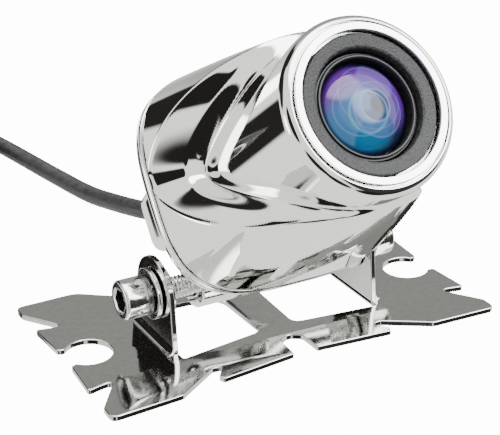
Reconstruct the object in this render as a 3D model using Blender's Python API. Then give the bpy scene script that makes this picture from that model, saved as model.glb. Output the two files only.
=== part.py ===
"""Backup camera on a stamped butterfly bracket, with its cable and plug.

Frame: X is the bracket's long axis, the lens looks towards -Y and upwards, +Z is up.
The origin is the middle of the bracket's bridge, on the underside that rests on a surface.
The camera head is built around its pivot: x across, y backwards along the lens axis, z up.
"""
import math

import bmesh
import bpy
from mathutils import Matrix, Vector

MM = 0.001
GAP = 0.3  # clearance between touching pieces

# Bracket
PLATE_T = 1.0
BRIDGE_HALF = 3.2
WINDOW_FRONT = 8.9
WINDOW_BACK = 8.6
STRIP_FRONT = 17.8
STRIP_BACK = 10.3
WING_HALF_DEPTH = 20.8
WING_REACH = 37.4
SLOT_X = 32.4
SLOT_R = 4.2
EAR_T = 1.0
EAR_INSIDE = 19.4
EAR_R = 6.4
EAR_FRONT = 8.2
EAR_BACK = 7.4

# Pivot and tilt
PIVOT_Y = -0.9
PIVOT_Z = 9.6
TILT_DEG = 37.2
PIVOT_SCREW_R = 2.0
SCREW_HEAD_R = 3.5
SCREW_HEAD_LEN = 4.0
HEX_R = 1.75
THREAD_IN = 6.0
WASHER_T = 0.8
WASHER_R = 4.5
SPRING_T = 1.0
SPRING_R = 3.5
RUN_CLEAR = 0.3  # radial clearance of screws and washers

# Head: distances behind the front face are called depth
REACH = 51.75  # front face to pivot, along the lens axis
RISE = 12.6  # lens axis above the pivot
BARREL_R = 14.2
SHOULDER = 2.0  # rounding of the barrel's front edge
BODY_FRONT = 4.0
BODY_BACK = 37.0
FRONT_HALF = 13.4
BACK_HALF_W = 21.4
BACK_HALF_H = 19.4
BACK_RISE = 0.8  # how far the rear outline stands above the lens axis
BODY_EASE = 0.6
BACK_POWER = 3.2
SCOOP_APEX = 31.5
SCOOP_SLOPE = 2.0
SCOOP_RISE = 2.0
SCOOP_WALL = 2.2
SCOOP_BANK = 0.9
BORE_R = 10.6
SEAT_R = 11.2
SEAT_DEPTH = 4.5
BEZEL_SEAT_R = 12.9
BEZEL_DEPTH = 1.6

# Front rings and optics
BEZEL_IN = 11.35
TRIM_IN = 8.7
TRIM_DEPTH = 4.0
SEAL_R = 0.6
GLASS_R = 7.3
GLASS_SAG = 3.0
LENS_HEAD_R = 8.4
LENS_THREAD_R = 6.0
LENS_LEN = 15.0
HOLDER_DEPTH = 5.9
HOLDER_BACK = 19.0

# Electronics
BOARD_R = 10.0
BOARD_T = 1.2
SENSOR_BOARD = 19.6
VIDEO_BOARD = 27.0
POST_CIRCLE = 8.2
POST_R = 1.3
BOARD_SCREW_R = 0.7

# Rear
GASKET_T = 0.7
GASKET_INSET = 0.7
COVER_T = 2.6
TAIL_HALF = 16.4
TAIL_TOP = 6.2
TAIL_BOTTOM = -6.2
TAIL_BACK = 59.0
LUG_HALF = 13.2
LUG_R = 4.4
COVER_SCREW_R = 1.0
COVER_SCREW_HEAD = 1.9
COVER_SCREW_X = 15.2
COVER_SCREW_Z = 11.2

# Cable and plug
CABLE_R = 1.8
EXIT_Z = 2.2
GLAND_R = 2.7
GLAND_LEN = 7.0
COIL_CENTRE = (-38.2, 97.8)
COIL_MEAN_R = 20.0
COIL_ABREAST = 3
COIL_LAYERS = 2
COIL_PITCH = 3.8
COIL_SLACK = 0.2  # how much larger than its turns the coil's solid is
COIL_START_DEG = 11.3
PLUG_R = 4.6
PLUG_LEN = 19.0
PLUG_SIDE_DEG = 225.0  # where the plug lies beside the coil

FLOOR_GAP = 0.1
ROUND = 40
FINE = 48
HOUSING_SIDES = 56
SMALL = 28
CUT_PHASE = 0.37  # turns a cutter so that its edges never meet the edges of what it cuts

CABLE_ROUTE = (
    (-2.2, 30.5, 7.5),
    (-4.5, 38.5, 6.0),
    (-5.5, 48.0, 3.9),
    (-6.9, 58.0, 2.3),
    (-9.0, 71.0, 1.9),
)


def clear_scene():
    for obj in list(bpy.data.objects):
        bpy.data.objects.remove(obj, do_unlink=True)


def material(name, colour, metallic, roughness, transmission=0.0):
    mat = bpy.data.materials.new(name)
    mat.use_nodes = True
    shader = mat.node_tree.nodes["Principled BSDF"]
    shader.inputs["Base Color"].default_value = (*colour, 1.0)
    shader.inputs["Metallic"].default_value = metallic
    shader.inputs["Roughness"].default_value = roughness
    shader.inputs["Transmission Weight"].default_value = transmission
    mat.diffuse_color = (*colour, 1.0)
    return mat


def make_materials():
    return {
        "chrome": material("chrome", (0.8, 0.8, 0.79), 1.0, 0.06),
        "steel": material("polished_steel", (0.62, 0.62, 0.6), 1.0, 0.16),
        "fastener": material("fastener_steel", (0.7, 0.7, 0.69), 1.0, 0.14),
        "spring": material("spring_steel", (0.16, 0.16, 0.16), 1.0, 0.3),
        "trim": material("textured_trim", (0.13, 0.13, 0.135), 0.0, 0.55),
        "black": material("black_anodised", (0.012, 0.012, 0.013), 0.3, 0.35),
        "rubber": material("black_rubber", (0.02, 0.02, 0.02), 0.0, 0.6),
        "glass": material("coated_glass", (0.45, 0.4, 0.85), 0.0, 0.02, 0.6),
        "filter": material("filter_glass", (0.35, 0.7, 0.75), 0.0, 0.05, 0.7),
        "board": material("green_board", (0.02, 0.16, 0.06), 0.0, 0.4),
        "sensor": material("sensor_die", (0.05, 0.06, 0.09), 0.2, 0.15),
        "nylon": material("white_nylon", (0.85, 0.84, 0.8), 0.0, 0.4),
        "brass": material("brass", (0.8, 0.6, 0.25), 1.0, 0.25),
        "cable": material("cable_jacket", (0.025, 0.025, 0.027), 0.0, 0.5),
    }


def new_object(name, bm, mat, parent=None, cutter=False):
    """Turn a closed bmesh in millimetres into an object in metres."""
    bmesh.ops.remove_doubles(bm, verts=bm.verts, dist=0.0005)
    bmesh.ops.scale(bm, vec=(MM, MM, MM), verts=bm.verts)
    bmesh.ops.recalc_face_normals(bm, faces=bm.faces)
    mesh = bpy.data.meshes.new(name)
    bm.to_mesh(mesh)
    bm.free()
    mesh.shade_smooth()
    mesh.set_sharp_from_angle(angle=math.radians(32))
    obj = bpy.data.objects.new(name, mesh)
    bpy.context.scene.collection.objects.link(obj)
    obj.parent = parent
    if mat:
        mesh.materials.append(mat)
    if cutter:
        obj.hide_render = True
        obj.display_type = "WIRE"
    return obj


def boolean(obj, other, operation):
    mod = obj.modifiers.new(other.name, "BOOLEAN")
    mod.operation = operation
    mod.solver = "EXACT"
    mod.object = other


def loft(bm, rings):
    """Skin closed rings of points and cap both ends."""
    loops = [[bm.verts.new(point) for point in ring] for ring in rings]
    count = len(loops[0])
    for first, second in zip(loops, loops[1:]):
        for i in range(count):
            j = (i + 1) % count
            bm.faces.new((first[i], first[j], second[j], second[i]))
    bm.faces.new(loops[0])
    bm.faces.new(loops[-1])


def prism(outline, low, high, to_point):
    bm = bmesh.new()
    loft(bm, [[to_point(u, v, low) for u, v in outline], [to_point(u, v, high) for u, v in outline]])
    return bm


def turned(profile, to_point, segments=ROUND, phase=0.0):
    """Turn a closed (radius, height) profile; a point of radius 0 lies on the axis."""
    bm = bmesh.new()
    columns = []
    for radius, height in profile:
        if radius < 1e-6:
            columns.append([bm.verts.new(to_point(0.0, 0.0, height))])
            continue
        ring = []
        for i in range(segments):
            angle = 2 * math.pi * (i + phase) / segments
            ring.append(bm.verts.new(to_point(radius * math.cos(angle), radius * math.sin(angle), height)))
        columns.append(ring)
    for first, second in zip(columns, columns[1:] + columns[:1]):
        if len(first) == 1 and len(second) == 1:
            continue
        for i in range(segments):
            j = (i + 1) % segments
            corners = (first[i % len(first)], first[j % len(first)], second[j % len(second)], second[i % len(second)])
            unique = list(dict.fromkeys(corners))
            bm.faces.new(unique)
    return bm


def lens_point(x, z, depth):
    return (x, depth - REACH, RISE + z)


def world_point(x, y, z):
    return (x, y, z)


def pivot_point(u, v, x):
    return (x, u, v)


def ear_axis_point(u, v, x):
    return (x, PIVOT_Y + u, PIVOT_Z + v)


def box(low, high):
    bm = bmesh.new()
    bmesh.ops.create_cube(bm, size=1.0)
    for vert in bm.verts:
        vert.co = Vector([low[i] + (vert.co[i] + 0.5) * (high[i] - low[i]) for i in range(3)])
    return bm


def rounded_outline(points, radius, steps=3):
    """Round every corner of a polygon; a corner may carry its own radius as a third value."""
    result = []
    count = len(points)
    for i, corner in enumerate(points):
        here = Vector(corner[:2])
        before = Vector(points[i - 1][:2])
        after = Vector(points[(i + 1) % count][:2])
        size = corner[2] if len(corner) > 2 else radius
        into = (before - here).normalized()
        out = (after - here).normalized()
        half = into.angle(out) / 2
        reach = min(size / math.tan(half), 0.45 * (before - here).length, 0.45 * (after - here).length)
        if size <= 0 or reach < 1e-4:
            result.append(tuple(here))
            continue
        start = here + into * reach
        end = here + out * reach
        for k in range(steps + 1):
            t = k / steps
            point = start * (1 - t) ** 2 + here * 2 * t * (1 - t) + end * t ** 2
            result.append(tuple(point))
    return result


# ---------------------------------------------------------------- bracket

def half_bracket_outline():
    """Right half of the stamped outline, front to back."""
    half_mouth = 2.7
    deg = math.degrees(math.asin(half_mouth / SLOT_R))
    edge = WING_HALF_DEPTH
    reach = WING_REACH
    front = [
        (2.3, -STRIP_FRONT + 0.4, 0.3), (16.4, -STRIP_FRONT - 1.0, 0.4), (16.8, -STRIP_FRONT + 0.1, 0.3),
        (14.9, -15.2, 0.5), (16.6, -15.0, 0.6), (24.6, -edge + 0.7, 1.5), (reach + 0.1, -edge, 3.4),
        (reach, -17.4, 0.8), (SLOT_X, -10.4, 0.9), (reach, -11.5, 0.6), (reach - 0.6, -half_mouth - 0.2, 1.0),
    ]
    slot = []
    for k in range(15):
        angle = math.radians(-deg + k * (-360 + 2 * deg) / 14)
        slot.append((SLOT_X + SLOT_R * math.cos(angle), SLOT_R * math.sin(angle), 0))
    back = [
        (reach - 0.6, half_mouth + 0.2, 1.0), (reach, 11.5, 0.6), (SLOT_X, 10.4, 0.9), (reach, 17.4, 0.8),
        (reach + 0.1, edge, 3.4), (26.0, edge, 4.0), (12.0, STRIP_BACK, 6.0),
    ]
    return front + slot + back


def bracket_outline():
    """Go round once: right half front to back, left half back to front, then the centre notch."""
    right = half_bracket_outline()
    left = [(-x, y, r) for x, y, r in reversed(right)]
    notch = [(-2.1, -12.6, 1.0), (0.0, -11.3, 1.6), (2.1, -12.6, 1.0)]
    return rounded_outline(right + left + notch, 0.5)


def build_bracket(mats):
    bm = prism(bracket_outline(), 0.0, PLATE_T, world_point)
    bracket = new_object("bracket", bm, mats["steel"])
    for side in (-1, 1):
        label = "right" if side > 0 else "left"
        window = [
            (side * BRIDGE_HALF, -WINDOW_FRONT + 1.0, 2.0), (side * EAR_INSIDE, -WINDOW_FRONT - 1.0, 0.6),
            (side * EAR_INSIDE, WINDOW_BACK, 0.6), (side * (BRIDGE_HALF + 0.4), WINDOW_BACK - 1.2, 4.0),
        ]
        bm = prism(rounded_outline(window, 1.0), -1.0, PLATE_T + 1.0, world_point)
        boolean(bracket, new_object("cut_window_" + label, bm, None, cutter=True), "DIFFERENCE")
        low = side * EAR_INSIDE
        high = side * (EAR_INSIDE + EAR_T)
        bm = prism(ear_outline(), low, high, pivot_point)
        boolean(bracket, new_object("add_ear_" + label, bm, None, cutter=True), "UNION")
        hole = [(PIVOT_SCREW_R + RUN_CLEAR, low - side), (0, low - side), (0, high + side),
                (PIVOT_SCREW_R + RUN_CLEAR, high + side)]
        bm = turned(hole, ear_axis_point, 28, CUT_PHASE)
        boolean(bracket, new_object("cut_ear_hole_" + label, bm, None, cutter=True), "DIFFERENCE")
    return bracket


def ear_outline():
    """Ear seen along X: a broad foot that narrows to a round top about the pivot."""
    points = [(-EAR_FRONT, PLATE_T * 0.4)]
    for k in range(17):
        angle = math.radians(170 - k * 160 / 16)
        points.append((PIVOT_Y + EAR_R * math.cos(angle), PIVOT_Z + EAR_R * math.sin(angle)))
    points.append((EAR_BACK, PLATE_T * 0.4))
    return points


# ---------------------------------------------------------------- camera head

def outline_radius(angle, half_w, half_h, rise, power):
    """Radius of a squarish oval whose top stands higher than its bottom."""
    height = half_h + rise if math.sin(angle) > 0 else half_h - rise
    cos, sin = abs(math.cos(angle)) / half_w, abs(math.sin(angle)) / height
    return (cos ** power + sin ** power) ** (-1 / power)


def cover_outline(inset=0.0):
    points = []
    for i in range(FINE):
        angle = 2 * math.pi * i / FINE
        r = outline_radius(angle, BACK_HALF_W - inset, BACK_HALF_H - inset, BACK_RISE, BACK_POWER)
        points.append((r * math.cos(angle), r * math.sin(angle)))
    return points


def smooth_step(low, high, value):
    t = min(1.0, max(0.0, (value - low) / (high - low)))
    return t * t * (3 - 2 * t)


def shell_radius(angle, depth):
    """Outside of the shell: the round barrel, and the body wherever the side scoops leave it."""
    t = min(1.0, max(0.0, (depth - BODY_FRONT) / (BODY_BACK - BODY_FRONT)))
    ease = t ** BODY_EASE
    half_w = FRONT_HALF + ease * (BACK_HALF_W - FRONT_HALF)
    half_h = FRONT_HALF + ease * (BACK_HALF_H - FRONT_HALF)
    body = outline_radius(angle, half_w, half_h, BACK_RISE * t, 2.0 + t * (BACK_POWER - 2.0))
    if body <= BARREL_R:
        return BARREL_R
    height = (BARREL_R + body) / 2 * math.sin(angle) - SCOOP_RISE
    rounded = math.sqrt(height * height + 1.2) - 1.1
    behind = depth - (SCOOP_APEX - SCOOP_SLOPE * rounded)
    bank = BARREL_R + SCOOP_WALL + SCOOP_BANK * max(0.0, behind)
    return BARREL_R + (min(body, bank) - BARREL_R) * smooth_step(-0.7, 0.9, behind)


def build_housing(mats, head):
    """Cast shell: a body that widens to the rear, scooped along both sides of the lens barrel."""
    depths = [SHOULDER + (BODY_BACK - SHOULDER) * k / 22 for k in range(23)]
    columns = []
    for i in range(HOUSING_SIDES):
        angle = 2 * math.pi * i / HOUSING_SIDES
        line = [(BEZEL_SEAT_R, 0.0)]
        for deg in (30, 60):
            lift = math.radians(deg)
            line.append((BEZEL_SEAT_R + (BARREL_R - BEZEL_SEAT_R) * math.sin(lift), SHOULDER * (1 - math.cos(lift))))
        line += [(shell_radius(angle, depth), depth) for depth in depths]
        line += [
            (BORE_R, BODY_BACK), (BORE_R, SEAT_DEPTH), (SEAT_R, SEAT_DEPTH), (SEAT_R, BEZEL_DEPTH),
            (BEZEL_SEAT_R, BEZEL_DEPTH),
        ]
        columns.append([lens_point(r * math.cos(angle), r * math.sin(angle), depth) for r, depth in line])
    bm = bmesh.new()
    loops = [[bm.verts.new(point) for point in column] for column in columns]
    for first, second in zip(loops, loops[1:] + loops[:1]):
        for j in range(len(first)):
            k = (j + 1) % len(first)
            bm.faces.new((first[j], second[j], second[k], first[k]))
    housing = new_object("housing", bm, mats["chrome"], head)
    for x, z in cover_screw_places():
        cut_hole(housing, "cut_pilot", x, z, BODY_BACK - 7, BODY_BACK + 1, COVER_SCREW_R + GAP, head)
    return housing


def cover_screw_places():
    places = []
    for sx in (-1, 1):
        for sz in (-1, 1):
            places.append((sx * COVER_SCREW_X, sz * COVER_SCREW_Z))
    return places


def cut_hole(target, label, x, z, start, end, radius, head, segments=16):
    profile = [(0, start), (radius, start), (radius, end), (0, end)]
    bm = turned(profile, lambda u, v, d: lens_point(x + u, z + v, d), segments, CUT_PHASE)
    name = "%s_%s_%d_%d" % (label, target.name, round(x), round(z))
    boolean(target, new_object(name, bm, None, head, cutter=True), "DIFFERENCE")


def build_front(mats, head):
    """Bezel, textured trim ring and the seal behind it."""
    bezel = [
        (BEZEL_IN, 0.15), (BEZEL_IN + 0.25, -0.25), (BEZEL_SEAT_R - 0.75, -0.35), (BEZEL_SEAT_R - GAP, 0.05),
        (BEZEL_SEAT_R - GAP, BEZEL_DEPTH - GAP), (BEZEL_IN, BEZEL_DEPTH - GAP),
    ]
    new_object("bezel_ring", turned(bezel, lens_point, FINE), mats["chrome"], head)
    trim_out = BEZEL_IN - GAP - 0.1
    trim = [
        (TRIM_IN, 0.9), (TRIM_IN + 0.3, 0.65), (trim_out, 0.3), (trim_out, BEZEL_DEPTH), (SEAT_R - GAP, BEZEL_DEPTH + GAP),
        (SEAT_R - GAP, TRIM_DEPTH), (TRIM_IN, TRIM_DEPTH),
    ]
    new_object("trim_ring", turned(trim, lens_point, FINE), mats["trim"], head)
    new_object("front_seal", turned(circle_profile(9.6, TRIM_DEPTH + GAP + SEAL_R, SEAL_R, 8), lens_point, SMALL),
               mats["rubber"], head)


def circle_profile(radius, depth, size, count):
    points = []
    for k in range(count):
        angle = 2 * math.pi * k / count
        points.append((radius + size * math.cos(angle), depth + size * math.sin(angle)))
    return points


def build_lens(mats, head):
    """Threaded lens barrel with its elements, and the holder that it screws into."""
    seat = GLASS_R + GAP
    barrel = [
        (seat, 1.5), (LENS_HEAD_R - 0.4, 1.5), (LENS_HEAD_R, 1.9), (LENS_HEAD_R, HOLDER_DEPTH - GAP),
        (LENS_THREAD_R + 1.2, HOLDER_DEPTH - GAP), (LENS_THREAD_R + 1.2, LENS_LEN), (4.9, LENS_LEN), (4.9, 9.8),
        (5.6, 9.4), (5.6, 5.4), (seat, 5.4),
    ]
    new_object("lens_barrel", turned(barrel, lens_point, ROUND), mats["black"], head)
    new_object("front_element", turned(dome_profile(GLASS_R, 0.3, GLASS_SAG, 5.0), lens_point, ROUND), mats["glass"], head)
    new_object("spacer_ring", turned(ring_profile(4.4, 5.3, 5.5, 6.3), lens_point, SMALL), mats["black"], head)
    new_object("second_element", turned(dome_profile(5.2, 6.6, 0.8, 8.4), lens_point, SMALL), mats["glass"], head)
    new_object("aperture_disc", turned(ring_profile(1.4, 5.2, 8.7, 9.1), lens_point, SMALL), mats["black"], head)
    new_object("rear_element", turned(dome_profile(4.5, 10.0, 0.7, 12.2), lens_point, SMALL), mats["glass"], head)
    inner = LENS_THREAD_R + 1.2 + GAP
    holder = [
        (inner, HOLDER_DEPTH), (BORE_R - GAP, HOLDER_DEPTH), (BORE_R - GAP, 8.5), (inner + 1.4, 8.8),
        (inner + 1.4, HOLDER_BACK), (inner, HOLDER_BACK),
    ]
    new_object("lens_holder", turned(holder, lens_point, SMALL), mats["black"], head)


def ring_profile(inner, outer, start, end):
    return [(inner, start), (outer, start), (outer, end), (inner, end)]


def dome_profile(radius, vertex, sag, back, steps=6):
    """Plano-convex element: a spherical front with its vertex at a depth, and a flat back."""
    sphere = (radius ** 2 + sag ** 2) / (2 * sag)
    points = []
    for k in range(steps + 1):
        r = radius * k / steps
        points.append((r, vertex + sphere - math.sqrt(sphere ** 2 - r ** 2)))
    points.append((radius, back))
    points.append((0, back))
    return points


def build_electronics(mats, head):
    bm = box(lens_point(-4, -4, 16.2), lens_point(4, 4, 16.8))
    new_object("ir_cut_filter", bm, mats["filter"], head)
    bm = box(lens_point(-4.2, -4.2, SENSOR_BOARD - 1.8), lens_point(4.2, 4.2, SENSOR_BOARD - GAP))
    new_object("image_sensor", bm, mats["sensor"], head)
    posts = [90, 210, 330]
    for name, depth in (("sensor_board", SENSOR_BOARD), ("video_board", VIDEO_BOARD)):
        bm = turned([(0, depth), (BOARD_R, depth), (BOARD_R, depth + BOARD_T), (0, depth + BOARD_T)], lens_point, SMALL)
        board = new_object(name, bm, mats["board"], head)
        for deg in posts:
            x, z = polar(POST_CIRCLE, deg)
            cut_hole(board, "cut_post", x, z, depth - 1, depth + BOARD_T + 1, BOARD_SCREW_R + GAP, head, 12)
    first = SENSOR_BOARD + BOARD_T + GAP
    last = VIDEO_BOARD - GAP
    for number, deg in enumerate(posts, 1):
        x, z = polar(POST_CIRCLE, deg)
        at = offset_lens_point(x, z)
        tube = ring_profile(BOARD_SCREW_R + GAP, POST_R, first, last)
        new_object("board_post_%d" % number, turned(tube, at, 12), mats["brass"], head)
        under = VIDEO_BOARD + BOARD_T + GAP
        screw = [
            (0, SENSOR_BOARD + 0.2), (BOARD_SCREW_R, SENSOR_BOARD + 0.2), (BOARD_SCREW_R, under), (POST_R, under),
            (POST_R, under + 1.0), (0, under + 1.0),
        ]
        new_object("board_screw_%d" % number, turned(screw, at, 12), mats["fastener"], head)
    socket_at = VIDEO_BOARD + BOARD_T + GAP
    bm = box(lens_point(-4.5, -3.0, socket_at), lens_point(4.5, 0.6, socket_at + 3.4))
    new_object("cable_socket", bm, mats["nylon"], head)


def polar(radius, deg):
    return radius * math.cos(math.radians(deg)), radius * math.sin(math.radians(deg))


def offset_lens_point(x, z):
    return lambda u, v, depth: lens_point(x + u, z + v, depth)


def build_rear(mats, head):
    """Gasket, and the rear cover with its tail block and the lug that takes the pivot screws."""
    start = BODY_BACK + GAP
    outline = cover_outline(GASKET_INSET)
    gasket = new_object("rear_gasket", prism(outline, start, start + GASKET_T, lens_point), mats["rubber"], head)
    cut_hole(gasket, "cut_middle", 0, 0, start - 1, start + 2, BORE_R, head, 40)
    for x, z in cover_screw_places():
        cut_hole(gasket, "cut_screw", x, z, start - 1, start + 2, COVER_SCREW_R + GAP, head)

    front = start + GASKET_T + GAP
    back = front + COVER_T
    sizes = ((front, 0.35), (front + 0.35, 0.0), (back - 0.9, 0.0), (back - 0.2, 0.45), (back, 1.1))
    rings = [[lens_point(x, z, depth) for x, z in cover_outline(inset)] for depth, inset in sizes]
    bm = bmesh.new()
    loft(bm, rings)
    cover = new_object("rear_cover", bm, mats["chrome"], head)

    sections = ((back - 1.0, 0.0), (TAIL_BACK - 1.4, 0.8), (TAIL_BACK - 0.4, 1.4), (TAIL_BACK, 2.4))
    rings = []
    for depth, inset in sections:
        half_w = TAIL_HALF - inset
        corners = [(-half_w, TAIL_BOTTOM + inset), (half_w, TAIL_BOTTOM + inset), (half_w, TAIL_TOP - inset),
                   (-half_w, TAIL_TOP - inset)]
        rings.append([lens_point(x, z, depth) for x, z in rounded_outline(corners, 2.5, 5)])
    bm = bmesh.new()
    loft(bm, rings)
    boolean(cover, new_object("add_tail", bm, None, head, cutter=True), "UNION")

    web = [
        (back - 1.0, TAIL_BOTTOM + 2, 0), (back - 1.0, -RISE + 2.0, 0), (REACH - LUG_R * 0.8, -RISE - LUG_R * 0.6, 0),
        (REACH + LUG_R * 0.9, -RISE - 0.3, 0), (REACH + LUG_R, TAIL_BOTTOM + 2, 0),
    ]
    bm = prism([(d, z) for d, z, _ in web], -LUG_HALF + 0.4, LUG_HALF - 0.4, lambda d, z, x: (x, d - REACH, RISE + z))
    boolean(cover, new_object("add_web", bm, None, head, cutter=True), "UNION")
    lug = [(0, -LUG_HALF), (LUG_R - 0.5, -LUG_HALF), (LUG_R, -LUG_HALF + 0.5), (LUG_R, LUG_HALF - 0.5),
           (LUG_R - 0.5, LUG_HALF), (0, LUG_HALF)]
    boolean(cover, new_object("add_lug", turned(lug, pivot_point, 36, 0.21), None, head, cutter=True), "UNION")

    for side in (-1, 1):
        inner = side * (LUG_HALF - THREAD_IN - 1.0)
        hole_r = PIVOT_SCREW_R + GAP
        hole = [(0, inner), (hole_r, inner), (hole_r, side * (LUG_HALF + 1)), (0, side * (LUG_HALF + 1))]
        label = "right" if side > 0 else "left"
        boolean(cover, new_object("cut_thread_" + label, turned(hole, pivot_point, 24, CUT_PHASE), None, head, cutter=True),
                "DIFFERENCE")
    cut_hole(cover, "cut_cable_way", 0, EXIT_Z, front - 1, TAIL_BACK + 1, CABLE_R + GAP, head, 24)
    for x, z in cover_screw_places():
        cut_hole(cover, "cut_screw", x, z, front - 1, back + 1, COVER_SCREW_R + GAP, head)

    number = 1
    for x, z in cover_screw_places():
        at = offset_lens_point(x, z)
        seat = back + GAP
        screw = [
            (0, BODY_BACK - 6), (COVER_SCREW_R, BODY_BACK - 6), (COVER_SCREW_R, seat), (COVER_SCREW_HEAD, seat),
            (COVER_SCREW_HEAD, seat + 0.6), (COVER_SCREW_HEAD - 0.5, seat + 1.0), (0, seat + 1.0),
        ]
        new_object("cover_screw_%d" % number, turned(screw, at, 12), mats["fastener"], head)
        number += 1

    end = TAIL_BACK + GAP
    gland = [
        (CABLE_R + GAP, end), (GLAND_R + 0.5, end), (GLAND_R + 0.5, end + 1.2), (GLAND_R, end + 1.5),
        (GLAND_R, end + 2.4), (GLAND_R - 0.3, end + 2.6), (GLAND_R - 0.3, end + 3.4), (GLAND_R - 0.1, end + 3.6),
        (GLAND_R - 0.1, end + 4.4), (GLAND_R - 0.45, end + 4.6), (GLAND_R - 0.45, end + GLAND_LEN),
        (CABLE_R + GAP, end + GLAND_LEN),
    ]
    new_object("cable_gland", turned(gland, offset_lens_point(0, EXIT_Z), 24), mats["rubber"], head)


def build_pivot_hardware(mats, head):
    """Socket head screws with spring and flat washers, in the ears, threaded into the lug."""
    for side in (-1, 1):
        label = "right" if side > 0 else "left"
        outside = EAR_INSIDE + EAR_T

        def along(u, v, x, side=side):
            return (side * x, u, v)

        flat_at = outside + GAP
        spring_at = flat_at + WASHER_T + GAP
        head_at = spring_at + SPRING_T + GAP
        end = head_at + SCREW_HEAD_LEN
        screw = [
            (0, LUG_HALF - THREAD_IN), (PIVOT_SCREW_R - 0.4, LUG_HALF - THREAD_IN),
            (PIVOT_SCREW_R, LUG_HALF - THREAD_IN + 0.5), (PIVOT_SCREW_R, head_at), (SCREW_HEAD_R, head_at),
            (SCREW_HEAD_R, end - 0.4), (SCREW_HEAD_R - 0.4, end), (0, end),
        ]
        obj = new_object("pivot_screw_" + label, turned(screw, along, 32), mats["fastener"], head)
        socket = [(0, end - 2.2), (HEX_R / math.cos(math.pi / 6), end - 2.2),
                  (HEX_R / math.cos(math.pi / 6), end + 1), (0, end + 1)]
        boolean(obj, new_object("cut_hex_" + label, turned(socket, along, 6), None, head, cutter=True), "DIFFERENCE")
        inner_r = PIVOT_SCREW_R + RUN_CLEAR
        washers = (
            ("flat_washer_", inner_r, WASHER_R, flat_at, WASHER_T, "fastener"),
            ("inner_washer_", inner_r, WASHER_R, EAR_INSIDE - GAP - WASHER_T, WASHER_T, "fastener"),
        )
        for name, inner, outer, start, thick, mat in washers:
            bm = turned(ring_profile(inner, outer, start, start + thick), along, 32)
            new_object(name + label, bm, mats[mat], head)
        build_spring_washer("spring_washer_" + label, inner_r, SPRING_R, spring_at, mats["spring"], head, side)


def build_spring_washer(name, inner, outer, start, mat, head, side):
    """A split ring: most of a turn of square section."""
    bm = bmesh.new()
    rings = []
    steps = 28
    for k in range(steps + 1):
        angle = math.radians(100 + 350 * k / steps)
        cos, sin = math.cos(angle), math.sin(angle)
        ring = []
        for radius, x in ((inner, start), (outer, start), (outer, start + SPRING_T), (inner, start + SPRING_T)):
            ring.append((side * x, radius * cos, radius * sin))
        rings.append(ring)
    loft(bm, rings)
    new_object(name, bm, mat, head)


# ---------------------------------------------------------------- cable and plug

def smooth_route(points, spacing):
    """Catmull-Rom curve through the route, read at an even spacing."""
    padded = [2 * points[0] - points[1]] + points + [2 * points[-1] - points[-2]]
    fine = []
    for p0, p1, p2, p3 in zip(padded, padded[1:], padded[2:], padded[3:]):
        for k in range(24):
            t = k / 24
            fine.append(0.5 * (2 * p1 + (p2 - p0) * t + (2 * p0 - 5 * p1 + 4 * p2 - p3) * t ** 2
                               + (3 * p1 - p0 - 3 * p2 + p3) * t ** 3))
    fine.append(points[-1])
    total = sum((b - a).length for a, b in zip(fine, fine[1:]))
    count = max(2, round(total / spacing))
    result = [fine[0]]
    walked = 0.0
    target = total / count
    for a, b in zip(fine, fine[1:]):
        step = (b - a).length
        while walked + step >= target - 1e-9 and len(result) < count:
            result.append(a.lerp(b, (target - walked) / step))
            target += total / count
        walked += step
    result.append(fine[-1])
    return result


def tube(name, points, mat):
    curve = bpy.data.curves.new(name, "CURVE")
    curve.dimensions = "3D"
    curve.bevel_depth = CABLE_R * MM
    curve.bevel_resolution = 2
    curve.use_fill_caps = True
    spline = curve.splines.new("POLY")
    spline.points.add(len(points) - 1)
    for item, point in zip(spline.points, points):
        item.co = (*(point * MM), 1.0)
    curve.materials.append(mat)
    obj = bpy.data.objects.new(name, curve)
    bpy.context.scene.collection.objects.link(obj)
    return obj


def head_matrix():
    return Matrix.Translation((0, PIVOT_Y, PIVOT_Z)) @ Matrix.Rotation(math.radians(-TILT_DEG), 4, "X")


def coil_point(radius, deg, z):
    x, y = polar(radius, deg)
    return Vector((COIL_CENTRE[0] + x, COIL_CENTRE[1] + y, z))


def coil_turn_outer():
    return COIL_MEAN_R + (COIL_ABREAST - 1) * COIL_PITCH / 2


def coil_solid_outer():
    return coil_turn_outer() + CABLE_R + COIL_SLACK


def coil_tangent(deg):
    return Vector((-math.sin(math.radians(deg)), math.cos(math.radians(deg)), 0))


def plug_frame():
    """The plug lies beside the coil, along its edge."""
    flange = PLUG_R + 0.6
    centre = coil_point(coil_solid_outer() + GAP + flange, PLUG_SIDE_DEG, flange + FLOOR_GAP)
    turn = Matrix.Rotation(math.radians(PLUG_SIDE_DEG + 90), 4, "Z")
    return Matrix.Translation(centre) @ turn @ Matrix.Translation((-PLUG_LEN / 2, 0, 0))


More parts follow.
